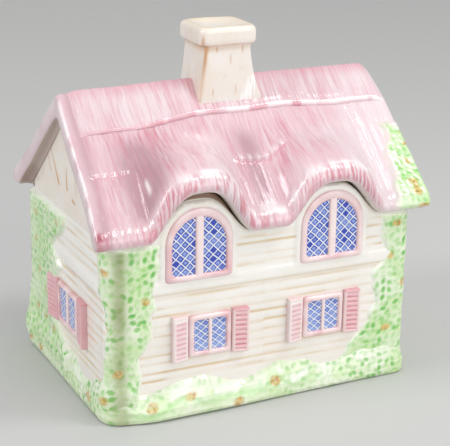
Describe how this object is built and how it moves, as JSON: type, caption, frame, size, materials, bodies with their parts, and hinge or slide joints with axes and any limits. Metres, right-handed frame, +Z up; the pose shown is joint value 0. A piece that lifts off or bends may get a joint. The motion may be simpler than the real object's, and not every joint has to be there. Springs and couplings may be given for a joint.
{
  "type": "lidded canister",
  "caption": "Glazed earthenware canister shaped as a thatched cottage, with ivy, shuttered windows, dormers under an eyebrow eave and a lift-off roof lid with a chimney",
  "frame": {"origin": "centre of the foot, on the surface that the jar stands on", "axes": "+X along the ridge to the right, -Y towards the pictured front, +Z up"},
  "size_m": [0.2072, 0.1514, 0.208],
  "materials": {
    "cream_wall": "glossy",
    "pink_thatch": "glossy",
    "pink_trim": "glossy",
    "blue_lattice": "glossy",
    "green_ivy": "glossy",
    "cream_chimney": "glossy"
  },
  "bodies": {
    "jar": {"jar_shell": "cream_wall", "foot_hedge": "green_ivy", "ivy_front_left": "green_ivy", "ivy_front_right": "green_ivy", "ivy_back_left": "green_ivy", "ivy_back_right": "green_ivy", "front_dormer_left_frame": "pink_trim", "front_dormer_left_lattice": "blue_lattice", "front_dormer_right_frame": "pink_trim", "front_dormer_right_lattice": "blue_lattice", "front_window_left_frame": "pink_trim", "front_window_left_lattice": "blue_lattice", "front_window_left_shutter_left": "pink_trim", "front_window_left_shutter_right": "pink_trim", "front_window_right_frame": "pink_trim", "front_window_right_lattice": "blue_lattice", "front_window_right_shutter_left": "pink_trim", "front_window_right_shutter_right": "pink_trim", "back_dormer_left_frame": "pink_trim", "back_dormer_left_lattice": "blue_lattice", "back_dormer_right_frame": "pink_trim", "back_dormer_right_lattice": "blue_lattice", "back_window_left_frame": "pink_trim", "back_window_left_lattice": "blue_lattice", "back_window_left_shutter_left": "pink_trim", "back_window_left_shutter_right": "pink_trim", "back_window_right_frame": "pink_trim", "back_window_right_lattice": "blue_lattice", "back_window_right_shutter_left": "pink_trim", "back_window_right_shutter_right": "pink_trim", "left_end_window_frame": "pink_trim", "left_end_window_lattice": "blue_lattice", "left_end_window_shutter_left": "pink_trim", "left_end_window_shutter_right": "pink_trim", "right_end_window_frame": "pink_trim", "right_end_window_lattice": "blue_lattice", "right_end_window_shutter_left": "pink_trim", "right_end_window_shutter_right": "pink_trim"},
    "lid": {"roof_shell": "pink_thatch", "ridge_cap": "pink_thatch", "roof_ivy_front": "green_ivy", "roof_ivy_back": "green_ivy", "gable_left": "cream_wall", "gable_right": "cream_wall", "locating_flange": "cream_wall", "chimney_stack": "cream_chimney", "chimney_crown": "cream_chimney"}
  },
  "joints": [
    {"name": "lid_lift", "type": "slide", "parent": "jar", "child": "lid", "axis": [0, 0, 1], "range_m": [0, 0.06]}
  ]
}
